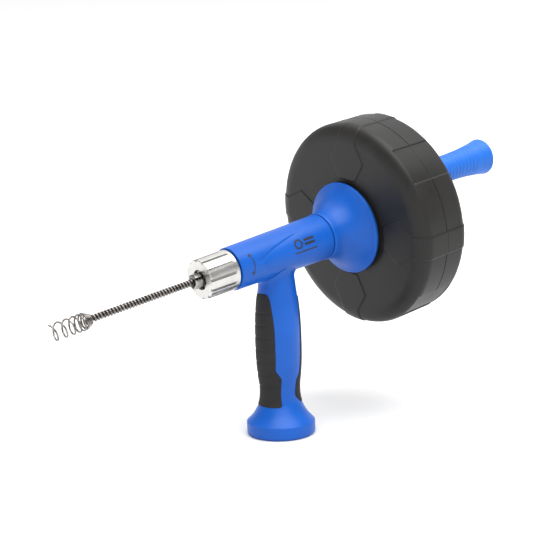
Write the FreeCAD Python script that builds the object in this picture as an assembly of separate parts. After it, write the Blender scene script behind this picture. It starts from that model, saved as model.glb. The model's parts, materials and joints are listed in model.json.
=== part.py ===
"""Drain snake machine: a hand-cranked drum auger on a pistol grip.

Lengths are in millimetres. The row frame has +Z up and its origin at the centre of the foot's underside.
The grip stands upright, and the spindle leans forward and down by RAKE. What turns on the spindle is drawn
in the spindle frame, with +X along the spindle towards the snake's tip and the origin where the grip's axis
meets the spindle's axis, and on_spindle() moves it into the row frame.
"""

import FreeCAD
import Part
import math
import os

V = FreeCAD.Vector
ORIGIN = V(0, 0, 0)
X_AXIS = V(1, 0, 0)
Y_AXIS = V(0, 1, 0)
Z_AXIS = V(0, 0, 1)

# Driving dimensions
RAKE = 8.9  # degrees that the spindle's front end points below the horizontal
SPINDLE_HEIGHT = 161.4  # the spindle's height above the foot, on the grip's axis
CABLE_RADIUS = 6.35 / 2  # a quarter-inch drain cable

# Drum, in the spindle frame
DRUM_RADIUS = 95.0  # over the raised bands
PAD_HEIGHT = 0.8  # how far the hexagons and the bands stand proud
SEAM_X = -116.8  # where the two shells meet
RIM_HALF_WIDTH = 18.1  # from the seam to where a shoulder starts
SHOULDER_DEPTH = 11.0
SHOULDER_HEIGHT = 15.7
DRUM_WALL = 2.8
PATTERN_ANGLE = -9.2  # degrees from +Y of the first hexagon
HEXAGON_CENTRE_RADIUS = 62.5
HEXAGON_RADIUS = 20.8
RECESS_CENTRE_ANGLE = 47.2  # degrees from a hexagon to the sunken panel after it
RECESS_HALF_ANGLE = 11.0
RECESS_HALF_WIDTH = 21.0
RECESS_DEPTH = 1.2
FRONT_FACE_X = SEAM_X + RIM_HALF_WIDTH + SHOULDER_DEPTH
REAR_FACE_X = SEAM_X - RIM_HALF_WIDTH - SHOULDER_DEPTH
SHELL_RADIUS = DRUM_RADIUS - PAD_HEIGHT
SHELL_SCREW_CIRCLE = 62.0

# Hub bell, in the spindle frame
BELL_RIM_X = -81.9
BELL_RIM_RADIUS = 42.3
BELL_RIM_WIDTH = 2.4
COLLAR_RADIUS = 39.5
BELL_WALL = 3.0
BARREL_REAR_X = -51.0
BARREL_REAR_RADIUS = 20.75
BELL_NECK_RADIUS = 21.4
HUB_SCREW_CIRCLE = 30.0
SCREW_RADIUS = 2.0

# Barrel, spindle and chuck, in the spindle frame
BARREL_FRONT_X = 52.0
BARREL_FRONT_RADIUS = 18.9
BARREL_BORE = 15.5
RUNNING_GAP = 1.2  # between the barrel's ends and what turns beside them
FIT_GAP = 0.05  # radial clearance of a running fit
SPINDLE_RADIUS = 9.5
SPINDLE_BORE = 6.0
SPINDLE_REAR_X = -98.0
BUSHING_LENGTH = 16.0
FLANGE_THICKNESS = 2.2
NUT_FRONT_X = 83.6
NUT_REAR_RADIUS = 17.7
NUT_FRONT_RADIUS = 17.3
NUT_THREAD_RADIUS = 13.0
NUT_CHAMBER_RADIUS = 14.4
NUT_MOUTH_RADIUS = 8.6
FLUTES = 12
FLUTE_RADIUS = 1.1
FLUTE_ANGLE = 3.5  # degrees from +Y of the first flute
FLUTE_BAND = 4.6  # the plain band behind the flutes
JAW_TAPER = 15.0  # degrees
JAW_NOSE_RADIUS = 6.4
JAW_NOSE_X = 91.5
JAW_GAP = 0.1  # between a closed jaw and the cable
JAW_SIDE_GAP = 1.2  # half of the space between two jaws
JAW_ANGLES = (90, 210, 330)

# Crank knob, in the spindle frame
KNOB_Y = 46.0
KNOB_Z = 35.6
KNOB_START_X = REAR_FACE_X - 3.0
KNOB_END_X = -224.8
KNOB_SHOULDER_X = KNOB_END_X + 3.0  # where the flare ends and the crowned end starts
KNOB_WAIST_RADIUS = 12.4
KNOB_END_RADIUS = 16.7
KNOB_FLARE = 3.4  # the power that the radius grows with
KNOB_RIB_PITCH = 4.4
KNOB_RIBS = 11
CRANK_PIN_RADIUS = 4.0

# Wound cable
COIL_INNER = 69.5
COIL_OUTER = 88.6
COIL_HALF_WIDTH = 16.5
LEAD_RADIUS = 29.0  # of both bends that bring the cable to the spindle
LEAD_X = -128.0
LEAD_ANGLE = 120.0  # clear of the screw pillars and the crank bolt

# Snake, in the spindle frame
INNER_RUN_START_X = -38.0
CABLE_START_X = JAW_NOSE_X
HEAD_START_X = 190.0
HEAD_RADIUS = 6.7  # to the middle of the wire
HEAD_WIRE = 0.75
HEAD_PITCHES = (3.2, 4.7, 5.9, 7.7, 8.8)

# Grip, in the row frame: height, mean radius, and how much deeper than wide the section is
GRIP_SECTIONS = (
    (12.0, 29.6, 1.00),
    (18.0, 24.2, 1.04),
    (24.0, 20.6, 1.07),
    (29.0, 18.4, 1.11),
    (36.0, 17.2, 1.12),
    (44.0, 17.2, 1.12),
    (52.0, 18.2, 1.12),
    (64.0, 19.2, 1.12),
    (84.0, 19.6, 1.12),
    (104.0, 19.1, 1.12),
    (119.0, 17.9, 1.12),
    (133.0, 16.3, 1.12),
    (152.0, 14.4, 1.12),
)
GRIP_WALL = 3.6
INSERT_DEPTH = 1.6
INSERT_PROUD = 0.6
FINGER_GROOVES = 7
FINGER_GROOVE_Z = 44.5
FINGER_GROOVE_PITCH = 11.0
FOOT_RADIUS = 30.3
FOOT_BAND = 12.1
FOOT_FILLET = 2.4
FOOT_HOLLOW = 24.0
CAVITY_TOP = 126.0


def on_spindle(shape):
    """Moves a shape from the spindle frame into the row frame."""
    moved = shape.copy()
    moved.rotate(ORIGIN, Y_AXIS, RAKE)
    moved.translate(V(0, 0, SPINDLE_HEIGHT))
    return moved


def ring(x_start, x_end, outer, inner=0.0, y=0.0, z=0.0):
    """A tube, or a rod where inner is 0, along X."""
    low, high = sorted((x_start, x_end))
    solid = Part.makeCylinder(outer, high - low, V(low, y, z), X_AXIS)
    if inner:
        solid = solid.cut(Part.makeCylinder(inner, high - low + 2, V(low - 1, y, z), X_AXIS))
    return solid


def taper(x_start, x_end, radius_start, radius_end):
    """A cone frustum along X."""
    return Part.makeCone(radius_start, radius_end, x_end - x_start, V(x_start, 0, 0), X_AXIS)


def spun(edges):
    """The solid that a closed outline in the XZ plane makes when it turns about X."""
    face = Part.Face(Part.Wire(edges))
    return face.revolve(ORIGIN, X_AXIS, 360)


def line(start, end):
    return Part.makeLine(V(start[0], 0, start[1]), V(end[0], 0, end[1]))


def arc(start, middle, end):
    points = [V(x, 0, z) for x, z in (start, middle, end)]
    return Part.Arc(*points).toShape()


def spun_polygon(points):
    """The solid of revolution of a polygon of (x, radius) points."""
    ends = points[1:] + points[:1]
    return spun([line(start, end) for start, end in zip(points, ends)])


def around(shape, count, first=0.0):
    """Copies of a shape, evenly spaced about the spindle."""
    copies = []
    for i in range(count):
        copy = shape.copy()
        copy.rotate(ORIGIN, X_AXIS, first + i * 360.0 / count)
        copies.append(copy)
    return copies


def prism(points, x_start, x_end):
    """A polygon of (y, z) points, carried along X."""
    corners = [V(x_start, y, z) for y, z in points]
    face = Part.Face(Part.makePolygon(corners + corners[:1]))
    return face.extrude(V(x_end - x_start, 0, 0))


def holes(x_start, x_end, radius, circle, first=0.0):
    """Four rods along X, evenly spaced on a circle."""
    return around(ring(x_start, x_end, radius, 0, circle, 0), 4, first)


def screw(x_head, length, direction, radius, circle, angle):
    """A pan-head screw along X whose head's underside is at x_head."""
    turn = math.radians(angle)
    y, z = circle * math.cos(turn), circle * math.sin(turn)
    shank = ring(x_head, x_head + direction * length, radius, 0, y, z)
    head = ring(x_head, x_head - direction * radius * 1.1, radius * 2, 0, y, z)
    slot = Part.makeBox(radius, radius * 4, radius * 0.5, V(0, y - radius * 2, z - radius * 0.25))
    slot.translate(V(x_head - direction * radius * 1.1 - radius / 2, 0, 0))
    return shank.fuse(head).cut(slot)


# Drum


def drum_half(side, inset):
    """One half of the drum as a filled solid, inset from the plain outer surface. side is 1 at the front."""
    radius = SHELL_RADIUS - inset
    face = SEAM_X + side * (RIM_HALF_WIDTH + SHOULDER_DEPTH - inset)
    rim_end = SEAM_X + side * RIM_HALF_WIDTH
    depth, height = SHOULDER_DEPTH - inset, SHOULDER_HEIGHT - inset
    centre = V(rim_end, 0, radius - height)
    shoulder = Part.Ellipse(centre + V(0, 0, height), centre + V(side * depth, 0, 0), centre)
    return spun(
        [
            line((face, 0), (SEAM_X, 0)),
            line((SEAM_X, 0), (SEAM_X, radius)),
            line((SEAM_X, radius), (rim_end, radius)),
            Part.Arc(shoulder, 0, math.pi / 2).toShape(),
            line((face, radius - height), (face, 0)),
        ]
    )


def pad_outlines():
    """The hexagon and the band that runs from it over the rim, as prisms along X, for all four pads."""
    half = HEXAGON_RADIUS / 2
    hexagon = []
    for corner in range(6):
        turn = math.radians(30 + 60 * corner)
        across, along = HEXAGON_RADIUS * math.cos(turn), HEXAGON_RADIUS * math.sin(turn)
        hexagon.append((HEXAGON_CENTRE_RADIUS + across, along))
    band = [(HEXAGON_CENTRE_RADIUS, -half), (110, -half), (110, half), (HEXAGON_CENTRE_RADIUS, half)]
    start, end = REAR_FACE_X - 5, FRONT_FACE_X + 5
    pad = prism(hexagon, start, end).fuse(prism(band, start, end))
    return around(pad, 4, PATTERN_ANGLE)


def rim_recess():
    """The sunken panel on the rim, before it is turned into place."""
    cutter = ring(SEAM_X - RECESS_HALF_WIDTH, SEAM_X + RECESS_HALF_WIDTH, 120, SHELL_RADIUS - RECESS_DEPTH)
    reach = 130.0
    spread = reach * math.tan(math.radians(RECESS_HALF_ANGLE))
    wedge = prism([(0, 0), (reach, -spread), (reach, spread)], SEAM_X - 30, SEAM_X + 30)
    return cutter.common(wedge)


def drum_shell(side):
    """A drum shell with its raised pads, sunken rim panels and screw pillars."""
    outer = drum_half(side, 0)
    raised = drum_half(side, -PAD_HEIGHT)
    for pad in pad_outlines():
        outer = outer.fuse(raised.common(pad))
    shell = outer.cut(drum_half(side, DRUM_WALL))
    for recess in around(rim_recess(), 4, PATTERN_ANGLE + RECESS_CENTRE_ANGLE):
        shell = shell.cut(recess)
    inner_face = SEAM_X + side * (RIM_HALF_WIDTH + SHOULDER_DEPTH - DRUM_WALL)
    pillars = holes(SEAM_X, inner_face + side * 0.5, 5.0, SHELL_SCREW_CIRCLE, PATTERN_ANGLE)
    bores = holes(SEAM_X - 40, SEAM_X + 22, SCREW_RADIUS, SHELL_SCREW_CIRCLE, PATTERN_ANGLE)
    return shell.fuse(pillars).cut(bores)


def drum_front_shell():
    shell = drum_shell(1).cut(ring(FRONT_FACE_X - 10, FRONT_FACE_X + 10, SPINDLE_RADIUS))
    return shell.cut(holes(FRONT_FACE_X - 10, FRONT_FACE_X + 10, SCREW_RADIUS, HUB_SCREW_CIRCLE))


def drum_rear_shell():
    sinks = holes(REAR_FACE_X - 1, REAR_FACE_X + 2.4, 4.4, SHELL_SCREW_CIRCLE, PATTERN_ANGLE)
    shell = drum_shell(-1).cut(sinks)
    boss = ring(REAR_FACE_X + 0.5, REAR_FACE_X - 1.6, 11.0, 0, KNOB_Y, KNOB_Z)
    shell = shell.fuse(boss)
    return shell.cut(ring(REAR_FACE_X - 10, REAR_FACE_X + 10, CRANK_PIN_RADIUS, 0, KNOB_Y, KNOB_Z))


def shell_screws():
    screws = []
    for i in range(4):
        angle = PATTERN_ANGLE + 90 * i
        screws.append(screw(REAR_FACE_X + 2.4, 46, 1, SCREW_RADIUS, SHELL_SCREW_CIRCLE, angle))
    return Part.makeCompound(screws)


# Hub


def hub_cone():
    """The bell that carries the drum: a flared wall, a sleeve on the spindle and four screw bosses."""
    rim_back = BELL_RIM_X - BELL_RIM_WIDTH
    neck_x = BARREL_REAR_X - RUNNING_GAP / 2
    wall = BELL_WALL
    outside = [
        line((neck_x, SPINDLE_RADIUS), (neck_x, BELL_NECK_RADIUS)),
        line((neck_x, BELL_NECK_RADIUS), (neck_x - 4, BELL_NECK_RADIUS + 0.3)),
        arc(
            (neck_x - 4, BELL_NECK_RADIUS + 0.3),
            (neck_x - 19, BELL_NECK_RADIUS + 5.6),
            (BELL_RIM_X + 0.8, BELL_RIM_RADIUS - 1.2),
        ),
        line((BELL_RIM_X + 0.8, BELL_RIM_RADIUS - 1.2), (BELL_RIM_X, BELL_RIM_RADIUS)),
        line((BELL_RIM_X, BELL_RIM_RADIUS), (rim_back, BELL_RIM_RADIUS)),
        line((rim_back, BELL_RIM_RADIUS), (rim_back, SPINDLE_RADIUS)),
        line((rim_back, SPINDLE_RADIUS), (neck_x, SPINDLE_RADIUS)),
    ]
    bell = spun(outside)
    sleeve = SPINDLE_RADIUS + 3.5
    hollow_neck = neck_x - 6
    hollow = [
        line((rim_back - 1, sleeve), (hollow_neck, sleeve)),
        line((hollow_neck, sleeve), (hollow_neck, BELL_NECK_RADIUS + 0.3 - wall)),
        arc(
            (hollow_neck, BELL_NECK_RADIUS + 0.3 - wall),
            (neck_x - 21, BELL_NECK_RADIUS + 5.8 - wall),
            (BELL_RIM_X - 0.5, BELL_RIM_RADIUS - 1.2 - wall),
        ),
        line((BELL_RIM_X - 0.5, BELL_RIM_RADIUS - 1.2 - wall), (rim_back - 1, BELL_RIM_RADIUS - 1.2 - wall)),
        line((rim_back - 1, BELL_RIM_RADIUS - 1.2 - wall), (rim_back - 1, sleeve)),
    ]
    bell_hollow = spun(hollow)
    bell = bell.cut(bell_hollow)
    for boss in holes(rim_back, rim_back + 12, 4.0, HUB_SCREW_CIRCLE):
        bell = bell.fuse(boss.common(bell_hollow))
    return bell.cut(holes(rim_back - 1, rim_back + 9.5, SCREW_RADIUS, HUB_SCREW_CIRCLE))


def hub_collar():
    """The black disc between the drum's face and the bell's rim."""
    back, front = FRONT_FACE_X, BELL_RIM_X - BELL_RIM_WIDTH
    disc = ring(back, front, COLLAR_RADIUS, SPINDLE_RADIUS)
    return disc.cut(holes(back - 1, front + 1, SCREW_RADIUS, HUB_SCREW_CIRCLE))


def hub_flange_plate():
    """The steel disc inside the drum that the hub screws pull against."""
    front = FRONT_FACE_X - DRUM_WALL
    plate = ring(front - 2.5, front, 38.0, SPINDLE_RADIUS)
    return plate.cut(holes(front - 4, front + 1, SCREW_RADIUS, HUB_SCREW_CIRCLE))


def hub_screws():
    back = FRONT_FACE_X - DRUM_WALL - 2.5
    return Part.makeCompound([screw(back, 16, 1, SCREW_RADIUS, HUB_SCREW_CIRCLE, 90 * i) for i in range(4)])


# Spindle and chuck


def spindle_tube():
    tube = ring(SPINDLE_REAR_X, BARREL_FRONT_X + 14.4, SPINDLE_RADIUS, SPINDLE_BORE)
    flare = taper(SPINDLE_REAR_X - 0.1, SPINDLE_REAR_X + 3, SPINDLE_RADIUS - 0.4, SPINDLE_BORE)
    return tube.cut(flare)


def bushing(flange_x, direction):
    """A flanged bearing. The flange's outer face is at flange_x, and the sleeve runs in direction."""
    flange = ring(flange_x, flange_x + direction * FLANGE_THICKNESS, BARREL_BORE + 1.2)
    sleeve = ring(flange_x, flange_x + direction * BUSHING_LENGTH, BARREL_BORE)
    hole = ring(flange_x - direction, flange_x + direction * (BUSHING_LENGTH + 1), SPINDLE_RADIUS + FIT_GAP)
    return flange.fuse(sleeve).cut(hole)


def front_thrust_washer():
    return ring(BARREL_FRONT_X + 0.1, BARREL_FRONT_X + 1.9, 12.6, SPINDLE_RADIUS)


def rear_thrust_washer():
    front = BARREL_REAR_X - 0.05
    return ring(front - RUNNING_GAP / 2 + 0.05, front, 15.0, SPINDLE_RADIUS)


def chuck_body():
    """The threaded sleeve on the spindle's front end, with three fins that guide the jaws."""
    back = BARREL_FRONT_X + 1.9
    front = BARREL_FRONT_X + 14.4
    body = ring(back, front, NUT_THREAD_RADIUS - FIT_GAP, SPINDLE_RADIUS)
    lip = ring(front, front + 0.8, NUT_THREAD_RADIUS - FIT_GAP, SPINDLE_BORE)
    fins = []
    for angle in JAW_ANGLES:
        fin = Part.makeBox(8.8, 2.4, 1.4, V(front + 0.4, SPINDLE_BORE + 0.4, -0.7))
        fin.rotate(ORIGIN, X_AXIS, angle + 60)
        fins.append(fin)
    return body.fuse([lip] + fins)


def chuck_nut():
    """The fluted nut, hollow inside: thread at the back, chamber, jaw taper and mouth."""
    back = BARREL_FRONT_X + RUNNING_GAP
    nut = taper(back, NUT_FRONT_X, NUT_REAR_RADIUS, NUT_FRONT_RADIUS)
    chamber_x = BARREL_FRONT_X + 13.0
    taper_x = BARREL_FRONT_X + 19.0
    mouth_x = NUT_FRONT_X - 2.6
    taper_end = NUT_MOUTH_RADIUS + 0.4
    taper_start = taper_end + (mouth_x - taper_x) * math.tan(math.radians(JAW_TAPER))
    nut = nut.cut(
        spun_polygon(
            [
                (back - 1, 0),
                (back - 1, NUT_THREAD_RADIUS),
                (chamber_x, NUT_THREAD_RADIUS),
                (chamber_x, NUT_CHAMBER_RADIUS),
                (taper_x, NUT_CHAMBER_RADIUS),
                (taper_x, taper_start),
                (mouth_x, taper_end),
                (mouth_x, NUT_MOUTH_RADIUS),
                (NUT_FRONT_X + 1, NUT_MOUTH_RADIUS),
                (NUT_FRONT_X + 1, 0),
            ]
        )
    )
    flute = ring(back + FLUTE_BAND, NUT_FRONT_X + 1, FLUTE_RADIUS, 0, NUT_REAR_RADIUS + 0.35, 0)
    return nut.cut(around(flute, FLUTES, FLUTE_ANGLE))


def clamp_ring():
    """The ring inside the nut that moves along with it and doesn't turn."""
    return ring(BARREL_FRONT_X + 16.4, BARREL_FRONT_X + 18.9, NUT_CHAMBER_RADIUS - FIT_GAP, 12.6)


def jaw(angle):
    """One third of the tapered collet, with its nose round the cable."""
    back = BARREL_FRONT_X + 15.4
    taper_x = BARREL_FRONT_X + 19.0
    mouth_x = NUT_FRONT_X - 2.6
    slope = math.tan(math.radians(JAW_TAPER))
    cone_end = NUT_MOUTH_RADIUS - 0.05
    cone_start = cone_end + (mouth_x - taper_x) * slope
    bore = CABLE_RADIUS + JAW_GAP
    body = spun_polygon(
        [
            (back, bore),
            (back, 8.6),
            (back + 1.4, 8.6),
            (back + 1.4, cone_start - 0.9),
            (taper_x - 0.6, cone_start - 0.9),
            (taper_x, cone_start),
            (mouth_x - 0.4, cone_end + 0.4 * slope),
            (mouth_x - 0.4, JAW_NOSE_RADIUS),
            (JAW_NOSE_X - 1.0, JAW_NOSE_RADIUS),
            (JAW_NOSE_X, JAW_NOSE_RADIUS - 1.0),
            (JAW_NOSE_X, bore + 1.2),
            (JAW_NOSE_X - 1.6, bore),
        ]
    )
    wide = 40.0
    half = math.radians(60)
    reach = JAW_SIDE_GAP / math.sin(half)
    corners = [(reach, 0)]
    for sign in (1, -1):
        corners.append((reach + wide * math.cos(half), sign * wide * math.sin(half)))
    corners = [corners[0], corners[1], (60, corners[1][1]), (60, corners[2][1]), corners[2]]
    sector = prism(corners, back - 1, JAW_NOSE_X + 1)
    piece = body.common(sector)
    piece.rotate(ORIGIN, X_AXIS, angle)
    return piece


def jaw_spring():
    """The ring spring in the step behind the jaws' cones."""
    return Part.makeTorus(9.7, 0.55, V(BARREL_FRONT_X + 15.95, 0, 0), X_AXIS)


# Crank


def knob_radius(x):
    """The knob's plain radius: waisted at the drum, flared at the end."""
    share = (x - KNOB_START_X) / (KNOB_SHOULDER_X - KNOB_START_X)
    return KNOB_WAIST_RADIUS + (KNOB_END_RADIUS - KNOB_WAIST_RADIUS) * share**KNOB_FLARE


def placed_on_crank(shape):
    shape.translate(V(0, KNOB_Y, KNOB_Z))
    return shape


def crank_knob():
    """The ribbed sleeve of the knob, open at the end for its cap."""
    cap_x = KNOB_END_X + 13
    points = [(KNOB_START_X, 5.6), (KNOB_START_X, KNOB_WAIST_RADIUS - 0.8)]
    points.append((KNOB_START_X - 0.8, KNOB_WAIST_RADIUS))
    first = KNOB_START_X - 8
    for i in range(KNOB_RIBS):
        x = first - i * KNOB_RIB_PITCH
        points.append((x, knob_radius(x)))
        points.append((x - 0.9, knob_radius(x) - 0.7))
        points.append((x - 2.1, knob_radius(x) - 0.7))
        points.append((x - 3.0, knob_radius(x)))
    points += [(cap_x, knob_radius(cap_x)), (cap_x, 9.0), (cap_x + 6, 9.0), (cap_x + 6, 5.6)]
    return placed_on_crank(spun_polygon(points))


def knob_cap():
    """The smooth flared end of the knob."""
    cap_x = KNOB_END_X + 13
    inner = 9.0
    flare = [(x, knob_radius(x)) for x in (cap_x, cap_x - 3.4, cap_x - 6.4, cap_x - 8.4, KNOB_SHOULDER_X)]
    crown_edge = (KNOB_END_X, KNOB_END_RADIUS - 9.2)
    inside = [
        crown_edge,
        (KNOB_END_X, 0),
        (KNOB_END_X + 3, 0),
        (KNOB_END_X + 3, inner - 2),
        (cap_x + 5.5, inner - 2),
        (cap_x + 5.5, inner),
        (cap_x, inner),
        flare[0],
    ]
    dome = [line(start, end) for start, end in zip(flare, flare[1:])]
    dome.append(arc(flare[-1], (KNOB_END_X + 0.9, KNOB_END_RADIUS - 2.7), crown_edge))
    dome += [line(start, end) for start, end in zip(inside, inside[1:])]
    return placed_on_crank(spun(dome))


def knob_bushing():
    cap_x = KNOB_END_X + 13
    return placed_on_crank(ring(KNOB_START_X, cap_x + 6, 5.6, CRANK_PIN_RADIUS + FIT_GAP))


def crank_bolt():
    """The shoulder bolt that the knob turns on. Its head is inside the drum."""
    back = REAR_FACE_X + DRUM_WALL + 2.0
    end = KNOB_END_X + 13.5
    shank = ring(end, back, CRANK_PIN_RADIUS)
    head = ring(back, back + 3.0, 7.0)
    return placed_on_crank(shank.fuse(head))


def crank_backing_plate():
    back = REAR_FACE_X + DRUM_WALL
    return placed_on_crank(ring(back, back + 2.0, 13.0, CRANK_PIN_RADIUS))


def crank_washer():
    front = REAR_FACE_X - 1.6
    return placed_on_crank(ring(KNOB_START_X + 0.2, front, 8.0, CRANK_PIN_RADIUS))


def crank_clip():
    """The push-on clip that keeps the knob on its bolt, under the cap."""
    back = KNOB_END_X + 18.6
    return placed_on_crank(ring(back - 1.2, back, 6.6, CRANK_PIN_RADIUS))


# Cable


def cable_coil():
    return ring(SEAM_X - COIL_HALF_WIDTH, SEAM_X + COIL_HALF_WIDTH, COIL_OUTER, COIL_INNER)


def bend(centre, axis, start, angle):
    """A quarter or so of a torus: the cable's section at start, turned by angle about an axis."""
    arm = start - centre
    section = Part.Face(Part.Wire(Part.makeCircle(CABLE_RADIUS, start, axis.cross(arm))))
    return section.revolve(centre, axis, angle)


def cable_lead():
    """From the wound pack round a level bend to the spindle, then round a second bend and along its bore."""
    pack_radius = COIL_INNER + CABLE_RADIUS
    centre_radius = pack_radius - LEAD_RADIUS
    straight = math.sqrt(centre_radius**2 - LEAD_RADIUS**2)
    lean = math.degrees(math.asin(LEAD_RADIUS / centre_radius))
    centre = V(LEAD_X, centre_radius, 0)
    level = bend(centre, X_AXIS, V(LEAD_X, pack_radius, 0), 90 + lean)
    # where the level bend ends, the cable heads for the spindle's axis
    heading = math.radians(lean)
    outward = V(0, math.cos(heading), math.sin(heading))
    meet = outward * straight
    run_end = outward * LEAD_RADIUS
    run = Part.makeCylinder(CABLE_RADIUS, straight - LEAD_RADIUS, V(LEAD_X, run_end.y, run_end.z), outward)
    rise_centre = V(LEAD_X + LEAD_RADIUS, run_end.y, run_end.z)
    rise = bend(rise_centre, X_AXIS.cross(outward), V(LEAD_X, run_end.y, run_end.z), 90)
    along = ring(LEAD_X + LEAD_RADIUS, INNER_RUN_START_X - 0.3, CABLE_RADIUS)
    print("lead: bend radius", LEAD_RADIUS, "straight run ends at radius", round(meet.Length, 1))
    return around(level.fuse([run, rise, along]), 1, LEAD_ANGLE)[0]


def snake_inner_run():
    return ring(INNER_RUN_START_X, CABLE_START_X, CABLE_RADIUS)


def snake_cable():
    return ring(CABLE_START_X, HEAD_START_X, CABLE_RADIUS)


def wire_coil(x_start, pitch, turns, radius, start_angle, cone_angle=0.0):
    """A helix of round wire along X, and the angle at which it ends."""
    height = pitch * turns
    helix = Part.makeHelix(pitch, height, radius, cone_angle)
    edge = helix.Edges[0]
    start = edge.valueAt(edge.FirstParameter)
    section = Part.Wire(Part.makeCircle(HEAD_WIRE, start, edge.tangentAt(edge.FirstParameter)))
    coil = Part.Wire(helix.Edges).makePipeShell([section], True, True)
    coil.rotate(ORIGIN, Y_AXIS, 90)
    coil.rotate(ORIGIN, X_AXIS, start_angle)
    coil.translate(V(x_start, 0, 0))
    return coil


def bulb_head():
    """The flared wraps on the cable's end and the open turns of growing pitch."""
    flare_turns, flare_pitch = 4, 1.75
    flare_angle = math.degrees(math.atan((HEAD_RADIUS - CABLE_RADIUS) / (flare_turns * flare_pitch)))
    x = HEAD_START_X + HEAD_WIRE
    coils = [wire_coil(x, flare_pitch, flare_turns, CABLE_RADIUS, 180, flare_angle)]
    x += flare_turns * flare_pitch
    for pitch in HEAD_PITCHES:
        coils.append(wire_coil(x, pitch, 1, HEAD_RADIUS, 180))
        x += pitch
    return Part.makeCompound(coils)


# Handle, in the row frame


def grip_loft(offset, low=0, high=len(GRIP_SECTIONS)):
    """The grip's outer shape, grown by an offset."""
    wires = []
    for height, radius, ratio in GRIP_SECTIONS[low:high]:
        deep = radius * math.sqrt(ratio) + offset
        wide = radius / math.sqrt(ratio) + offset
        if abs(deep - wide) < 0.01:
            curve = Part.Circle(V(0, 0, height), Z_AXIS, deep)
        else:
            curve = Part.Ellipse(V(deep, 0, height), V(0, wide, height), V(0, 0, height))
        wires.append(Part.Wire(curve.toShape()))
    return Part.makeLoft(wires, True, False)


def side_prism(points):
    """A polygon of (x, z) points carried across the whole width."""
    corners = [V(x, -60, z) for x, z in points]
    face = Part.Face(Part.makePolygon(corners + corners[:1]))
    return face.extrude(V(0, 120, 0))


def front_insert_region():
    return side_prism(
        [(60, 27), (9.5, 27), (9.2, 52), (14.0, 60), (14.3, 97), (15.4, 124), (18, 128), (60, 128)]
    )


def rear_insert_region():
    edge = [(-9.5, 27), (-3.6, 35), (-4.6, 50), (-9.8, 56), (-12.2, 84), (-12.4, 120), (-15, 124)]
    return side_prism([(-60, 27)] + edge + [(-60, 124)])


def insert(region):
    """A rubber insert that follows the grip and stands a little proud."""
    return grip_loft(INSERT_PROUD).cut(grip_loft(-INSERT_DEPTH)).common(region)


def front_grip_insert():
    """The front insert, with shallow finger grooves."""
    rubber = insert(front_insert_region())
    skin = grip_loft(INSERT_PROUD + 2).cut(grip_loft(INSERT_PROUD - 0.9))
    for i in range(FINGER_GROOVES):
        z = FINGER_GROOVE_Z + i * FINGER_GROOVE_PITCH
        slot = Part.makeBox(60, 60, 2.4, V(14, -30, z - 1.2))
        rubber = rubber.cut(skin.common(slot))
    return rubber


def rear_grip_insert():
    return insert(rear_insert_region())


def foot():
    """The round foot with its plain band."""
    profile = [
        line((0, 0), (FOOT_RADIUS - FOOT_FILLET, 0)),
        arc(
            (FOOT_RADIUS - FOOT_FILLET, 0),
            (FOOT_RADIUS - 0.3 * FOOT_FILLET, 0.3 * FOOT_FILLET),
            (FOOT_RADIUS, FOOT_FILLET),
        ),
        line((FOOT_RADIUS, FOOT_FILLET), (FOOT_RADIUS, FOOT_BAND - 1)),
        line((FOOT_RADIUS, FOOT_BAND - 1), (FOOT_RADIUS - 1, FOOT_BAND)),
        line((FOOT_RADIUS - 1, FOOT_BAND), (0, FOOT_BAND)),
        line((0, FOOT_BAND), (0, 0)),
    ]
    return Part.Face(Part.Wire(profile)).revolve(ORIGIN, Z_AXIS, 360)


def saddle_pads():
    """The raised leaf on each side of the barrel over the grip."""
    tip, top, tail_top = V(34, 0, 2), V(12, 0, 11), V(-16, 0, 15.5)
    tail_bottom, bottom = V(-14, 0, -15), V(14, 0, -8.5)
    edges = [
        Part.Arc(tip, top, tail_top).toShape(),
        Part.makeLine(tail_top, tail_bottom),
        Part.Arc(tail_bottom, bottom, tip).toShape(),
    ]
    leaf = Part.Face(Part.Wire(edges)).extrude(V(0, 60, 0))
    leaf.translate(V(0, -30, 0))
    return leaf.common(ring(-17, 35, BARREL_REAR_RADIUS - 0.1))


def handle_body():
    """Barrel, saddle, hollow grip and foot in one moulding."""
    barrel = taper(BARREL_REAR_X, BARREL_FRONT_X, BARREL_REAR_RADIUS, BARREL_FRONT_RADIUS)
    body = on_spindle(barrel.fuse(saddle_pads())).fuse(grip_loft(0)).fuse(foot())
    seat_reach = FLANGE_THICKNESS + 0.2
    bore = ring(BARREL_REAR_X - 1, BARREL_FRONT_X + 1, BARREL_BORE)
    front_seat = ring(BARREL_FRONT_X - seat_reach, BARREL_FRONT_X + 1, BARREL_BORE + 1.2)
    rear_seat = ring(BARREL_REAR_X - 1, BARREL_REAR_X + seat_reach, BARREL_BORE + 1.2)
    body = body.cut(on_spindle(bore.fuse([front_seat, rear_seat])))
    for region in (front_insert_region(), rear_insert_region()):
        body = body.cut(grip_loft(3).cut(grip_loft(-INSERT_DEPTH)).common(region))
    below = Part.makeBox(80, 80, CAVITY_TOP, V(-40, -40, 0))
    body = body.cut(grip_loft(-GRIP_WALL).common(below))
    return body.cut(Part.makeCylinder(FOOT_HOLLOW, FOOT_BAND + 0.2, ORIGIN, Z_AXIS))


def foot_plug():
    """The disc and short skirt that close the grip from below."""
    disc = Part.makeCylinder(FOOT_HOLLOW, 3.0, ORIGIN, Z_AXIS)
    skirt = Part.makeCylinder(FOOT_HOLLOW, 9.0, ORIGIN, Z_AXIS).cut(Part.makeCylinder(FOOT_HOLLOW - 2.2, 9.0))
    return disc.fuse(skirt)


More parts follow.
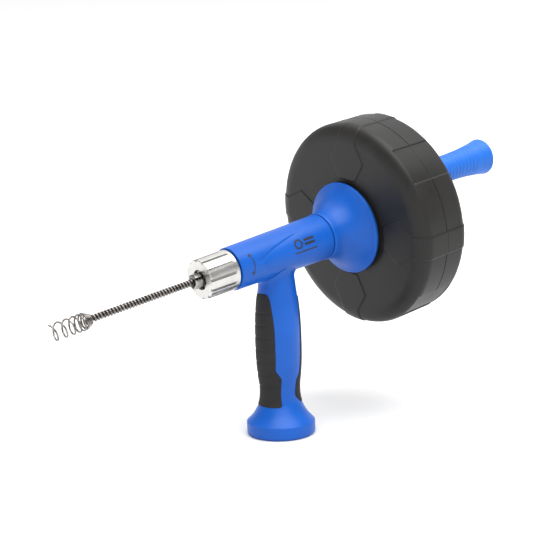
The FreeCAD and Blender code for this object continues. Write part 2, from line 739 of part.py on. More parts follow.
SPINDLE_PARTS = {
    "front_bushing": lambda: bushing(BARREL_FRONT_X - 0.2, -1),
    "rear_bushing": lambda: bushing(BARREL_REAR_X + 0.2, 1),
    "drum_front_shell": drum_front_shell,
    "drum_rear_shell": drum_rear_shell,
    "shell_screws": shell_screws,
    "hub_cone": hub_cone,
    "hub_collar": hub_collar,
    "hub_flange_plate": hub_flange_plate,
    "hub_screws": hub_screws,
    "spindle_tube": spindle_tube,
    "front_thrust_washer": front_thrust_washer,
    "rear_thrust_washer": rear_thrust_washer,
    "chuck_body": chuck_body,
    "chuck_nut": chuck_nut,
    "clamp_ring": clamp_ring,
    "jaw_spring": jaw_spring,
    "crank_knob": crank_knob,
    "knob_cap": knob_cap,
    "knob_bushing": knob_bushing,
    "crank_bolt": crank_bolt,
    "crank_backing_plate": crank_backing_plate,
    "crank_washer": crank_washer,
    "crank_clip": crank_clip,
    "cable_coil": cable_coil,
    "cable_lead": cable_lead,
    "snake_inner_run": snake_inner_run,
    "snake_cable": snake_cable,
    "bulb_head": bulb_head,
}
HANDLE_PARTS = {
    "handle_body": handle_body,
    "front_grip_insert": front_grip_insert,
    "rear_grip_insert": rear_grip_insert,
    "foot_plug": foot_plug,
}


def main():
    os.makedirs("parts", exist_ok=True)
    shapes = {name: make() for name, make in HANDLE_PARTS.items()}
    shapes.update({name: on_spindle(make()) for name, make in SPINDLE_PARTS.items()})
    shapes.update({f"jaw_{i + 1}": on_spindle(jaw(angle)) for i, angle in enumerate(JAW_ANGLES)})
    for name, shape in shapes.items():
        shape.exportStep(f"parts/{name}.step")
        print(name, "solids", len(shape.Solids), "valid", shape.isValid(), "volume", round(shape.Volume))


main()
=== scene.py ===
"""Looks of the drain snake machine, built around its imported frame.

Points are in millimetres until they reach a mesh.
"""
import json
import math

import bpy
import numpy as np
from mathutils import Matrix, Vector


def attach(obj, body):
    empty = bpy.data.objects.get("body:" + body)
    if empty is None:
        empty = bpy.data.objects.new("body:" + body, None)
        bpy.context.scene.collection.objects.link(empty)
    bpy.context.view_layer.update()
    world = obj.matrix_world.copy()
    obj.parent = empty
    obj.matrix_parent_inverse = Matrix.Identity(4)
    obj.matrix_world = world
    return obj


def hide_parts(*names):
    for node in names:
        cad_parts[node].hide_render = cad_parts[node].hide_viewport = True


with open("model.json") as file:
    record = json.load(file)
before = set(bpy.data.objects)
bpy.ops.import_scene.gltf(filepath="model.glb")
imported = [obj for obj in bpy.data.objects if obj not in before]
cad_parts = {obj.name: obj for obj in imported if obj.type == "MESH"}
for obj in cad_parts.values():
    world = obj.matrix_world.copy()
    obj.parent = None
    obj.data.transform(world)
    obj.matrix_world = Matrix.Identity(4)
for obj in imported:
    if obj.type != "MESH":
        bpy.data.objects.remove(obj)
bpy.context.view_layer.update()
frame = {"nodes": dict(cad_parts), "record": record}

# The frame's own dimensions
RAKE = math.radians(8.9)
SPINDLE_HEIGHT = 161.4
CABLE_RADIUS = 3.175
SEAM_X = -116.8
RIM_HALF_WIDTH = 18.1
SHOULDER_DEPTH = 11.0
SHOULDER_HEIGHT = 15.7
SHELL_RADIUS = 94.2
PAD_HEIGHT = 0.8
PATTERN_ANGLE = -9.2
HEXAGON_CENTRE = 62.5
HEXAGON_RADIUS = 20.8
KNOB_Y, KNOB_Z = 46.0, 35.6
KNOB_START, KNOB_SEAM, KNOB_SHOULDER, KNOB_END = -148.9, -211.8, -221.8, -224.8
GRIP_HEIGHTS = (12.0, 18.0, 24.0, 29.0, 36.0, 44.0, 52.0, 64.0, 84.0, 104.0, 119.0, 133.0, 152.0)
GRIP_RADII = (29.6, 24.2, 20.6, 18.4, 17.2, 17.2, 18.2, 19.2, 19.6, 19.1, 17.9, 16.3, 14.4)
GRIP_RATIOS = (1.0, 1.04, 1.07, 1.11, 1.12, 1.12, 1.12, 1.12, 1.12, 1.12, 1.12, 1.12, 1.12)


# Points and meshes


def from_spindle(points):
    """Points in the spindle's frame, whose X runs along the spindle, moved into the row's frame."""
    p = np.asarray(points, float)
    x, y, z = p[..., 0], p[..., 1], p[..., 2]
    c, s = math.cos(RAKE), math.sin(RAKE)
    return np.stack([x * c + z * s, y, -x * s + z * c + SPINDLE_HEIGHT], -1)


def to_spindle(points):
    p = np.asarray(points, float)
    x, y, z = p[..., 0], p[..., 1], p[..., 2] - SPINDLE_HEIGHT
    c, s = math.cos(RAKE), math.sin(RAKE)
    return np.stack([x * c - z * s, y, x * s + z * c], -1)


def smooth(t):
    t = np.clip(t, 0, 1)
    return t * t * (3 - 2 * t)


def wrapped(angle):
    return (angle + math.pi) % (2 * math.pi) - math.pi


def curve(at, xs, ys):
    """A smooth line through the table's points."""
    xs, ys = np.asarray(xs, float), np.asarray(ys, float)
    slopes = np.gradient(ys, xs)
    i = np.clip(np.searchsorted(xs, at) - 1, 0, len(xs) - 2)
    h = xs[i + 1] - xs[i]
    t = np.clip((at - xs[i]) / h, 0, 1)
    rise = (1 + 2 * t) * (1 - t) ** 2 * ys[i] + t * t * (3 - 2 * t) * ys[i + 1]
    return rise + h * (t * (1 - t) ** 2 * slopes[i] - t * t * (1 - t) * slopes[i + 1])


def quads(rows, columns, first=0, loop=False):
    """Faces of a sheet whose columns close on themselves; loop also joins the last row to the first."""
    a, b = np.meshgrid(np.arange(rows if loop else rows - 1), np.arange(columns), indexing="ij")
    c, d = (a + 1) % rows, (b + 1) % columns
    faces = np.stack([a * columns + b, a * columns + d, c * columns + d, c * columns + b], -1)
    return (faces.reshape(-1, 4) + first).tolist()


def piece(name, sheets, material, body, replaces=(), sharp=38):
    """A mesh from closed sheets of points. Each sheet is (points, loop): rows by columns by 3."""
    points, faces = [], []
    first = 0
    for sheet, loop in sheets:
        rows, columns = sheet.shape[:2]
        block = quads(rows, columns, first, loop)
        if not loop:
            block.append([first + i for i in range(columns)][::-1])
            block.append([first + (rows - 1) * columns + i for i in range(columns)])
        flat = sheet.reshape(-1, 3)
        test = np.array([f[:4] for f in block[: (rows if loop else rows - 1) * columns]]) - first
        a, b, c, d = (flat[test[:, k]] for k in range(4))
        if np.einsum("ij,ij->i", a, np.cross(c - a, d - b)).sum() < 0:
            block = [f[::-1] for f in block]
        points.append(flat)
        faces += block
        first += rows * columns
    mesh = bpy.data.meshes.new(name)
    mesh.from_pydata((np.concatenate(points) * 0.001).tolist(), [], faces)
    mesh.polygons.foreach_set("use_smooth", [True] * len(mesh.polygons))
    mesh.set_sharp_from_angle(angle=math.radians(sharp))
    mesh.materials.append(material)
    obj = bpy.data.objects.new(name, mesh)
    bpy.context.scene.collection.objects.link(obj)
    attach(obj, body)
    if replaces:
        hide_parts(*replaces)
    return obj


def second_material(obj, material, test):
    """Gives another material to the faces whose centres, in the spindle's frame, pass the test."""
    obj.data.materials.append(material)
    centres = np.empty(3 * len(obj.data.polygons))
    obj.data.polygons.foreach_get("center", centres)
    chosen = test(to_spindle(centres.reshape(-1, 3) * 1000))
    obj.data.polygons.foreach_set("material_index", chosen.astype(np.int32))


def eased(points, step=3.0):
    """A closed outline of (x, radius, ease) points with its corners rounded and its long runs divided."""
    outline = []
    for i, (x, r, ease) in enumerate(points):
        corner = np.array((x, r))
        before = np.array(points[i - 1][:2])
        after = np.array(points[(i + 1) % len(points)][:2])
        if not ease:
            outline.append(corner)
            continue
        a = corner + (before - corner) * ease / np.linalg.norm(before - corner)
        b = corner + (after - corner) * ease / np.linalg.norm(after - corner)
        for t in np.linspace(0, 1, 7):
            outline.append((1 - t) ** 2 * a + 2 * t * (1 - t) * corner + t * t * b)
    return divided(outline, step)


def divided(outline, step, closed=True):
    dense = []
    pairs = list(zip(outline, outline[1:] + outline[:1])) if closed else list(zip(outline[:-1], outline[1:]))
    for a, b in pairs:
        count = max(1, math.ceil(np.linalg.norm(np.subtract(b, a)) / step))
        dense += [np.add(a, np.subtract(b, a) * k / count) for k in range(count)]
    if not closed:
        dense.append(np.array(outline[-1], float))
    return np.array(dense)


def revolved(outline, columns, relief=None, y=0.0, z=0.0):
    """A sheet from an outline of (x, radius) points turned about the spindle, or about a line beside it."""
    angle = np.linspace(0, 2 * math.pi, columns, endpoint=False)[None, :]
    x = outline[:, :1] + 0 * angle
    r = outline[:, 1:] + 0 * angle
    if relief:
        x, r = relief(x, r, angle + 0 * x)
    return from_spindle(np.stack([x, y + r * np.cos(angle), z + r * np.sin(angle)], -1))


# Materials


def new_material(name):
    material = bpy.data.materials.new(name)
    material.use_nodes = True
    tree = material.node_tree
    shader = tree.nodes["Principled BSDF"]
    place = tree.nodes.new("ShaderNodeTexCoord").outputs["Object"]
    return material, tree, shader, place


def noise_at(tree, place, scale, detail=3.0, stretch=None):
    if stretch:
        mapping = tree.nodes.new("ShaderNodeMapping")
        mapping.inputs["Scale"].default_value = stretch
        tree.links.new(place, mapping.inputs["Vector"])
        place = mapping.outputs["Vector"]
    noise = tree.nodes.new("ShaderNodeTexNoise")
    noise.inputs["Scale"].default_value = scale
    noise.inputs["Detail"].default_value = detail
    tree.links.new(place, noise.inputs["Vector"])
    return noise.outputs["Fac"]


def ramp(tree, value, low, high, start=0.35, end=0.65):
    node = tree.nodes.new("ShaderNodeValToRGB")
    node.color_ramp.elements[0].position = start
    node.color_ramp.elements[1].position = end
    node.color_ramp.elements[0].color = (*low, 1)
    node.color_ramp.elements[1].color = (*high, 1)
    tree.links.new(value, node.inputs["Fac"])
    return node.outputs["Color"]


def spread(tree, value, low, high):
    node = tree.nodes.new("ShaderNodeMapRange")
    node.inputs["To Min"].default_value = low
    node.inputs["To Max"].default_value = high
    node.inputs["From Min"].default_value = 0.3
    node.inputs["From Max"].default_value = 0.7
    tree.links.new(value, node.inputs["Value"])
    return node.outputs["Result"]


def bumped(tree, shader, value, strength, distance):
    bump = tree.nodes.new("ShaderNodeBump")
    bump.inputs["Strength"].default_value = strength
    bump.inputs["Distance"].default_value = distance
    tree.links.new(value, bump.inputs["Height"])
    tree.links.new(bump.outputs["Normal"], shader.inputs["Normal"])


def surface(name, low, high, rough, grain, bump, metal=0.0, patch=35.0, stretch=None, coat=0.0, specular=0.5):
    """A material with patchy colour between low and high, patchy roughness and a fine grain in its bump."""
    material, tree, shader, place = new_material(name)
    patches = noise_at(tree, place, patch, 4.0)
    tree.links.new(ramp(tree, patches, low, high), shader.inputs["Base Color"])
    streaks = noise_at(tree, place, grain, 2.0, stretch)
    tree.links.new(spread(tree, streaks if stretch else patches, *rough), shader.inputs["Roughness"])
    bumped(tree, shader, streaks, bump, 0.0001)
    shader.inputs["Metallic"].default_value = metal
    shader.inputs["Specular IOR Level"].default_value = specular
    shader.inputs["Coat Weight"].default_value = coat
    shader.inputs["Coat Roughness"].default_value = 0.3
    return material


ALONG = (0.12, 1.0, 1.0)
blue = surface(
    "moulded_blue", (0.002, 0.084, 0.42), (0.003, 0.096, 0.47),
    (0.33, 0.42), 1500, 0.35, specular=0.3
)
knob_blue = surface(
    "knob_blue", (0.008, 0.130, 0.56), (0.011, 0.148, 0.62),
    (0.42, 0.52), 1300, 0.5, specular=0.35
)
charcoal = surface(
    "moulded_charcoal", (0.0135, 0.0128, 0.0122), (0.019, 0.018, 0.017),
    (0.38, 0.48), 1100, 0.5, specular=0.27
)
rubber = surface(
    "grip_rubber", (0.014, 0.014, 0.0145), (0.022, 0.022, 0.023),
    (0.62, 0.78), 1700, 0.9, specular=0.25
)
black = surface("black_plastic", (0.010, 0.010, 0.011), (0.016, 0.016, 0.017), (0.45, 0.6), 1200, 0.4)
cast = surface(
    "satin_cast_metal", (0.55, 0.545, 0.525), (0.64, 0.635, 0.615),
    (0.24, 0.36), 420, 0.25, 1.0, 60, ALONG
)
# Darker grey metal for the nut's flute faces: painted shade standing for the shadow inside the flutes.
flute_shade_metal = surface(
    "flute_painted_shade_metal", (0.24, 0.235, 0.225), (0.33, 0.325, 0.315),
    (0.38, 0.50), 420, 0.3, 1.0, 60, ALONG
)
steel = surface(
    "turned_steel", (0.30, 0.295, 0.28), (0.42, 0.41, 0.395),
    (0.24, 0.34), 600, 0.25, 1.0, 80, (1, 0.2, 0.2)
)
wire = surface(
    "oiled_spring_wire", (0.15, 0.135, 0.125), (0.32, 0.30, 0.285),
    (0.22, 0.36), 900, 0.2, 1.0, 260
)
# Very dark material for the core inside the open coil: painted shade for the gaps between the wire's turns.
gap_shade = surface("painted_gap_shade", (0.010, 0.009, 0.008), (0.022, 0.019, 0.017), (0.4, 0.55), 900, 0.3)
zinc = surface("plated_steel", (0.42, 0.43, 0.43), (0.56, 0.56, 0.55), (0.26, 0.38), 700, 0.25, 1.0, 120)
bronze = surface(
    "sintered_bronze", (0.33, 0.20, 0.08), (0.45, 0.28, 0.12),
    (0.34, 0.48), 1400, 0.5, 1.0, 150
)
ink = surface("printed_ink", (0.012, 0.014, 0.022), (0.022, 0.026, 0.038), (0.5, 0.62), 1500, 0.2)

LOOKS = {
    "handle_blue": blue,
    "hub_blue": blue,
    "knob_blue": knob_blue,
    "grip_rubber": rubber,
    "drum_black": charcoal,
    "black_plastic": black,
    "cast_metal": cast,
    "spindle_steel": steel,
    "cable_steel": wire,
    "fastener_steel": zinc,
    "bearing_bronze": bronze,
}
for part in frame["record"]["subparts"]:
    node = frame["nodes"][part["node"]]
    node.data.materials.clear()
    node.data.materials.append(LOOKS[part["material_slot"]])


# Camera

FORWARD = Vector((-0.6258, -0.7650, -0.1519)).normalized()
RIGHT = Vector((-0.7704, 0.6367, -0.0324))
RIGHT = (RIGHT - FORWARD * RIGHT.dot(FORWARD)).normalized()
UP = RIGHT.cross(FORWARD)
camera_data = bpy.data.cameras.new("camera")
camera_data.lens = 83.39
camera_data.sensor_width = 36.0
camera_data.shift_x = 0.00244
camera_data.shift_y = -0.03944
camera = bpy.data.objects.new("camera", camera_data)
bpy.context.scene.collection.objects.link(camera)
camera.matrix_world = Matrix(
    (
        (RIGHT.x, UP.x, -FORWARD.x, 0.6953),
        (RIGHT.y, UP.y, -FORWARD.y, 0.8473),
        (RIGHT.z, UP.z, -FORWARD.z, 0.3293),
        (0, 0, 0, 1),
    )
)
bpy.context.scene.camera = camera


# Snake


def route_points(name, stops):
    """Points of the smooth line that the stops control, in millimetres, in the row's frame."""
    data = bpy.data.curves.new(name, "CURVE")
    data.dimensions = "3D"
    data.resolution_u = 12
    spline = data.splines.new("NURBS")
    spline.points.add(len(stops) - 1)
    for point, stop in zip(spline.points, from_spindle(stops) * 0.001):
        point.co = (*stop, 1)
    spline.order_u = 3
    spline.use_endpoint_u = True
    holder = bpy.data.objects.new(name, data)
    mesh = bpy.data.meshes.new_from_object(holder)
    points = np.array([v.co for v in mesh.vertices]) * 1000
    bpy.data.objects.remove(holder)
    bpy.data.meshes.remove(mesh)
    return points


def tube(points, radius, sides=10):
    """A sheet round a line of points; radius may vary along it. The frame is carried along without twist."""
    points = np.asarray(points, float)
    radius = np.broadcast_to(radius, len(points))
    along = np.gradient(points, axis=0)
    along /= np.linalg.norm(along, axis=1)[:, None]
    across = np.cross(along[0], (0.3, 0.2, 0.93))
    rows = []
    for i, direction in enumerate(along):
        across = across - direction * (across @ direction)
        across /= np.linalg.norm(across)
        other = np.cross(direction, across)
        turn = np.linspace(0, 2 * math.pi, sides, endpoint=False)[:, None]
        rows.append(points[i] + radius[i] * (np.cos(turn) * across + np.sin(turn) * other))
    return np.array(rows)


def wound(axis, radii, pitches, first_angle, per_turn=26):
    """Points of a helix about the straight line between two points.

    radii and pitches are (turn, value) tables.
    """
    start, end = axis
    along = (end - start) / np.linalg.norm(end - start)
    up = np.array((math.sin(RAKE), 0, math.cos(RAKE)))
    side = np.array((0.0, 1.0, 0.0))
    turns = pitches[-1][0]
    t = np.linspace(0, turns, int(turns * per_turn) + 1)
    pitch = np.interp(t, *zip(*pitches))
    distance = np.concatenate([[0], np.cumsum((pitch[1:] + pitch[:-1]) / 2 * np.diff(t))])
    radius = np.interp(t, *zip(*radii))[:, None]
    angle = (math.radians(first_angle) + 2 * math.pi * t)[:, None]
    return start + distance[:, None] * along + radius * (np.cos(angle) * side + np.sin(angle) * up)


WIRE = 0.85
PITCH = 3.0
CORE_RADIUS = 1.7
INNER_START, CABLE_START, HEAD_START = -38.0, 91.5, 190.0
coil_radius = CABLE_RADIUS - WIRE


def cable_piece(name, start, end, replaces, first_angle):
    route = route_points(name + "_route", [(start, 0, 0), ((start + end) / 2, 0, 0), (end, 0, 0)])
    turns = (end - start - 2 * WIRE) / PITCH
    radii = [(0, coil_radius), (turns, coil_radius)]
    pitches = [(0, PITCH), (turns, PITCH)]
    line = wound([route[0], route[-1]], radii, pitches, first_angle)
    line = line + (route[-1] - route[0]) / np.linalg.norm(route[-1] - route[0]) * WIRE
    middle = np.linspace(route[0], route[-1], 24)
    sheets = [(tube(line, WIRE), False), (tube(middle, CORE_RADIUS, 12), False)]
    obj = piece(name, sheets, wire, "snake", replaces, 60)
    return obj, route


cable_wire, cable_route = cable_piece("cable_wire", CABLE_START, HEAD_START, ["snake_cable"], 40)
inner_wire, inner_route = cable_piece("inner_wire", INNER_START, CABLE_START, ["snake_inner_run"], 40)
# The core gets the very dark material, painted shade seen between the turns.
for cable in (cable_wire, inner_wire):
    second_material(cable, gap_shade, lambda p: np.hypot(p[:, 1], p[:, 2]) < 1.72)

HEAD_WIRE = 0.75
flare = [(0, CABLE_RADIUS), (4, 6.7), (9, 6.7)]
spacing = [(0, 1.75), (3.6, 1.75), (4.4, 3.0), (5.5, 4.7), (6.5, 5.9), (7.5, 7.7), (8.5, 8.8), (9, 8.8)]
head_axis = from_spindle([(HEAD_START + HEAD_WIRE, 0, 0), (HEAD_START + 40, 0, 0)])
head_line = wound(head_axis, flare, spacing, 90, 40)
head_sheets = [(tube(head_line, HEAD_WIRE, 12), False)]
head_wire = piece("head_wire", head_sheets, wire, "snake", ["bulb_head"], 60)


# Drum


def drum_outline(side):
    face = SEAM_X + side * (RIM_HALF_WIDTH + SHOULDER_DEPTH)
    rim_end = SEAM_X + side * RIM_HALF_WIDTH
    hole = 12.0 if side > 0 else 0.05
    outer = [(face, r) for r in np.arange(hole, 40, 5)]
    outer += [(face, r) for r in np.arange(40, SHELL_RADIUS - SHOULDER_HEIGHT, 0.6)]
    for t in np.linspace(0, math.pi / 2, 40):
        reach, height = SHOULDER_DEPTH * math.cos(t), SHOULDER_HEIGHT * math.sin(t)
        outer.append((rim_end + side * reach, SHELL_RADIUS - SHOULDER_HEIGHT + height))
    outer += [(SEAM_X + side * d, SHELL_RADIUS) for d in np.arange(RIM_HALF_WIDTH - 0.7, 1.0, -0.7)]
    seam = ((0.7, 0), (0.45, 0.1), (0.22, 0.35), (0.1, 0.8))
    outer += [(SEAM_X + side * d, SHELL_RADIUS - fall) for d, fall in seam]
    inner = [(SEAM_X + side * 0.1, 91.6), (rim_end, 91.4), (rim_end + side * 6, 86), (face - side * 2.8, 76)]
    inner.append((face - side * 2.8, hole))
    return np.array(outer + inner), len(outer)


def drum_relief(side, count, normal):
    hexagon_reach = HEXAGON_RADIUS * math.cos(math.radians(30))

    def relief(x, r, angle):
        lift = np.zeros_like(x)
        sink = np.zeros_like(x)
        hole = np.zeros_like(x)
        for k in range(4):
            phi = wrapped(angle - math.radians(PATTERN_ANGLE + 90 * k))
            du = r * np.cos(phi) - HEXAGON_CENTRE
            v = r * np.sin(phi)
            slant = np.maximum(abs(0.5 * du + 0.866 * v), abs(0.5 * du - 0.866 * v))
            hexagon = np.maximum(abs(du), slant) - hexagon_reach
            band = np.maximum(abs(v) - HEXAGON_RADIUS / 2, -du)
            lift = np.maximum(lift, smooth(0.4 - np.minimum(hexagon, band) / 0.8))
            turn = abs(wrapped(angle - math.radians(PATTERN_ANGLE + 47.2 + 90 * k))) - math.radians(11)
            panel = np.maximum(turn * 93, abs(x - SEAM_X) - 21)
            sink = np.maximum(sink, smooth(0.4 - panel / 0.9))
            if side < 0:
                hole = np.maximum(hole, smooth(0.5 - (np.hypot(du, v) - 4.4) / 0.7))
        shown = (np.arange(len(x)) < count)[:, None]
        lift = (PAD_HEIGHT * lift - 3.0 * hole) * shown
        x = x + normal[:, :1] * lift
        r = r + normal[:, 1:] * lift
        return x, r - np.maximum(0, r - (SHELL_RADIUS - 1.2)) * sink * shown

    return relief


def drum_piece(name, side, node):
    outline, count = drum_outline(side)
    tangent = np.gradient(outline, axis=0)
    tangent /= np.linalg.norm(tangent, axis=1)[:, None]
    normal = np.stack([tangent[:, 1], -tangent[:, 0]], -1) * side
    sheets = [(revolved(outline, 960, drum_relief(side, count, normal)), True)]
    if side < 0:
        face = SEAM_X - RIM_HALF_WIDTH - SHOULDER_DEPTH
        corners = [(face + 0.5, 4.1, 0), (face + 0.5, 11, 0), (face - 1.6, 11, 0.6), (face - 1.6, 4.1, 0.3)]
        boss = eased(corners, 1.5)
        sheets.append((revolved(boss, 96, None, KNOB_Y, KNOB_Z), True))
    return piece(name, sheets, charcoal, "drum", [node], 50)


drum_piece("drum_front", 1, "drum_front_shell")
drum_piece("drum_rear", -1, "drum_rear_shell")


# Hub


def arc_through(start, middle, end, count):
    """Points of the circle's arc through three points."""
    (ax, ay), (bx, by), (cx, cy) = start, middle, end
    d = 2 * (ax * (by - cy) + bx * (cy - ay) + cx * (ay - by))
    ux = ((ax**2 + ay**2) * (by - cy) + (bx**2 + by**2) * (cy - ay) + (cx**2 + cy**2) * (ay - by)) / d
    uy = ((ax**2 + ay**2) * (cx - bx) + (bx**2 + by**2) * (ax - cx) + (cx**2 + cy**2) * (bx - ax)) / d
    first = math.atan2(ay - uy, ax - ux)
    last = first + wrapped(math.atan2(cy - uy, cx - ux) - first)
    radius = math.hypot(ax - ux, ay - uy)
    return [(ux + radius * math.cos(t), uy + radius * math.sin(t)) for t in np.linspace(first, last, count)]


def bell():
    neck, rim, back = -51.6, -81.9, -84.3
    outer = arc_through((neck - 4, 21.7), (neck - 19, 27.0), (rim + 0.8, 41.1), 40)
    flank = [(neck, 21.4 - 0.5), (neck - 0.15, 21.25), (neck - 0.5, 21.4)] + outer
    edge = [(rim + 0.45, 41.75), (rim, 42.15), (rim - 0.5, 42.3)]
    edge += [(back + 0.5, 42.3), (back + 0.1, 42.1), (back, 41.6)]
    inner = arc_through((rim - 0.5, 38.1), (neck - 21, 24.2), (neck - 6, 18.7), 24)
    outline = flank + edge + [(back, 38.1)] + inner + [(neck - 6, 9.6), (neck, 9.6)]
    return divided(outline, 2.0)


piece("bell", [(revolved(bell(), 288), True)], blue, "drum", ["hub_cone"])
collar = eased([(-87.7, 9.6, 0), (-87.7, 39.5, 0.3), (-84.3, 39.5, 0.6), (-84.3, 9.6, 0)], 2.0)
piece("collar_ring", [(revolved(collar, 288), True)], black, "drum", ["hub_collar"])


# Handle


def barrel_radius(x):
    return 20.75 + (18.9 - 20.75) * (x + 51.0) / 103.0


def leaf(x, z):
    """How far the leaf-shaped pad on the barrel's flank stands proud at a point of its side view."""
    top = np.interp(x, (-30, -16, -2, 12, 24, 31, 34.5), (18.0, 15.5, 13.6, 11.0, 7.4, 4.4, 1.6))
    low = np.interp(x, (-26, -14, 2, 14, 24, 31, 34.5), (-17, -15, -11.6, -8.5, -4.6, -1.0, 1.0))
    share = np.clip((top - z) / np.maximum(top - low, 0.5), 0, 1)
    crease = smooth((top - z) / 0.9 + 0.3) * smooth((34.5 - x) / 1.2)
    lower = smooth((z - low) / 3.2 + 0.3)
    tilt = -0.95 * (1 - share) ** 1.5 + 0.8 * share**0.8
    return tilt * crease * lower * smooth((x + 24) / 30)


def barrel_relief(x, r, angle):
    outside = r > 18.0
    z = r * np.sin(angle)
    return x, r + np.where(outside, leaf(x, z), 0)


def barrel_sheet():
    ends = [(-51, 15.7, 0.4), (-51, 20.75, 0.7), (52, 18.9, 0.6), (52, 15.7, 0.4)]
    return revolved(eased(ends, 0.9), 320, barrel_relief)


def grip_section(z, angle, offset):
    radius = curve(z, GRIP_HEIGHTS, GRIP_RADII)
    ratio = np.sqrt(curve(z, GRIP_HEIGHTS, GRIP_RATIOS))
    x = (radius * ratio + offset) * np.cos(angle)
    y = (radius / ratio + offset) * np.sin(angle)
    return np.stack([x, y, z], -1)


def melted(points):
    """Moves the grip's points onto the surface that runs smoothly from the grip into the barrel."""
    blend = 5.0

    def field(p):
        z = p[..., 2]
        radius = curve(z, GRIP_HEIGHTS, GRIP_RADII)
        ratio = np.sqrt(curve(z, GRIP_HEIGHTS, GRIP_RATIOS))
        reach = np.hypot(p[..., 0] / ratio, p[..., 1] * ratio)
        grip = reach - radius
        s = to_spindle(p)
        barrel = np.hypot(s[..., 1], s[..., 2]) - barrel_radius(s[..., 0])
        near = np.maximum(blend - abs(grip - barrel), 0) / blend
        return np.minimum(grip, barrel) - near**2 * blend / 4

    for _ in range(14):
        value = field(points)
        slope = np.stack([(field(points + step) - value) / 0.01 for step in np.eye(3) * 0.01], -1)
        size = np.maximum((slope**2).sum(-1), 0.2)
        points = points - (value / size)[..., None] * slope * 0.8
    return points


def grip_sheet():
    angle = np.linspace(0, 2 * math.pi, 224, endpoint=False)
    foot = [(12.3, 20), (12.3, 24), (0.4, 24), (0, 24.4), (0, 27.6)]
    foot += [(0.25, 28.7), (0.75, 29.5), (1.5, 30.05), (2.5, 30.3)]
    foot += [(z, 30.3) for z in (4, 6, 8, 10, 11)] + [(11.5, 30.2), (11.9, 29.95), (12.05, 29.6)]
    rows = [np.stack([r * np.cos(angle), r * np.sin(angle), z + 0 * angle], -1) for z, r in foot]
    wall = grip_section(142 + 0 * angle, angle, 0)
    drop = np.sqrt(np.maximum(17.6**2 - wall[:, 1] ** 2, 0))
    top = SPINDLE_HEIGHT + (-drop - wall[:, 0] * math.sin(RAKE)) / math.cos(RAKE)
    shares = np.concatenate([np.linspace(0.004, 0.86, 100), np.linspace(0.865, 1, 46)])
    grip = [grip_section(12.1 + (top - 12.1) * share, angle, 0) for share in shares]
    grip = list(melted(np.array(grip)))
    tuck = to_spindle(grip[-1])
    tuck[:, 1:] *= 0.92
    return np.array(rows + grip + [from_spindle(tuck)])


shell_sheets = [(barrel_sheet(), True), (grip_sheet(), False)]
piece("handle_shell", shell_sheets, blue, "handle", ["handle_body"])


def insert_sheet(facing, heights, edges, grooves):
    """A rubber insert: each row is a closed loop over the outside and back along the inside."""
    low, high = heights
    z = [np.linspace(low, low + 3, 10), np.linspace(low + 3.5, high - 3.5, 170), np.linspace(high - 3, high, 10)]
    z = np.concatenate(z)
    edge_x = np.interp(z, *zip(*edges))
    deep = curve(z, GRIP_HEIGHTS, GRIP_RADII) * np.sqrt(curve(z, GRIP_HEIGHTS, GRIP_RATIOS))
    half = np.arccos(np.clip(edge_x / deep, -1, 0.985))
    u = np.concatenate([np.linspace(-1, -0.9, 7), np.linspace(-0.88, 0.88, 56), np.linspace(0.9, 1, 7)])
    angle = half[:, None] * u[None, :]
    from_side = (1 - abs(u))[None, :] * half[:, None] * deep[:, None]
    from_end = np.minimum(z - low, high - z)[:, None]
    border = np.minimum(from_side, from_end)
    lift = -0.5 + 1.1 * smooth(border / 1.1)
    lift = lift - 0.42 * grooves(z[:, None], angle) * smooth(border / 2.0)
    outer = grip_section(z[:, None] + 0 * angle, angle, lift)
    inner = grip_section(z[:, None] + 0 * angle, angle[:, ::-1], -1.5)
    sheet = np.concatenate([outer, inner], 1)
    sheet[..., 0] *= facing
    return sheet


def finger_grooves(z, angle):
    along = abs((z - 44.5 + 5.5) % 11.0 - 5.5)
    return smooth(1.5 - along / 0.8) * smooth((1.05 - abs(angle)) / 0.3) * (z > 42) * (z < 113)


def thumb_ribs(z, angle):
    along = abs((z - 38 + 2.2) % 4.4 - 2.2)
    return 0.55 * smooth(1.5 - along / 0.7) * smooth((0.62 - abs(angle)) / 0.2) * (z > 34) * (z < 118)


# The inserts' side edges, as (height, distance in front of or behind the grip's axis)
FRONT_EDGE = [(26.6, 15.5), (27.4, 11.2), (28.6, 9.7), (52.2, 9.3), (59.5, 13.7)]
FRONT_EDGE += [(61, 14.0), (97, 14.2), (123, 15.3), (126.6, 16.0), (128.0, 17.6)]
REAR_EDGE = [(27.5, 15.0), (28.4, 11.0), (34, 4.4), (36.6, 3.4), (48.5, 4.8)]
REAR_EDGE += [(50.5, 5.6), (55.8, 9.8), (84, 12.0), (120, 12.4), (123, 15.0)]
piece(
    "front_rubber",
    [(insert_sheet(1, (26.6, 128.0), FRONT_EDGE, finger_grooves), False)],
    rubber,
    "handle",
    ["front_grip_insert"],
)
piece(
    "rear_rubber",
    [(insert_sheet(-1, (27.5, 123.0), REAR_EDGE, thumb_ribs), False)],
    rubber,
    "handle",
    ["rear_grip_insert"],
)


# Chuck


FLUTES = 12
FLUTE_ANGLE = 3.5
FLUTE_HALF_WIDTH = 1.05
FLUTE_START_X = 57.3


def in_flute(x, angle):
    """How far inside a flute of the nut a point is, in millimetres from its nearest edge."""
    off_centre = abs(wrapped(FLUTES * (angle - math.radians(FLUTE_ANGLE)))) / FLUTES * 17.5
    return np.minimum(FLUTE_HALF_WIDTH - off_centre, x - FLUTE_START_X)


def nut_relief(x, r, angle):
    flutes = smooth(0.5 + in_flute(x, angle) / 0.35)
    depth = 1.05 - np.maximum(0, 17.3 - r) * 0.4
    return x, np.where(r > 16.0, np.minimum(r, r - depth * flutes), r)


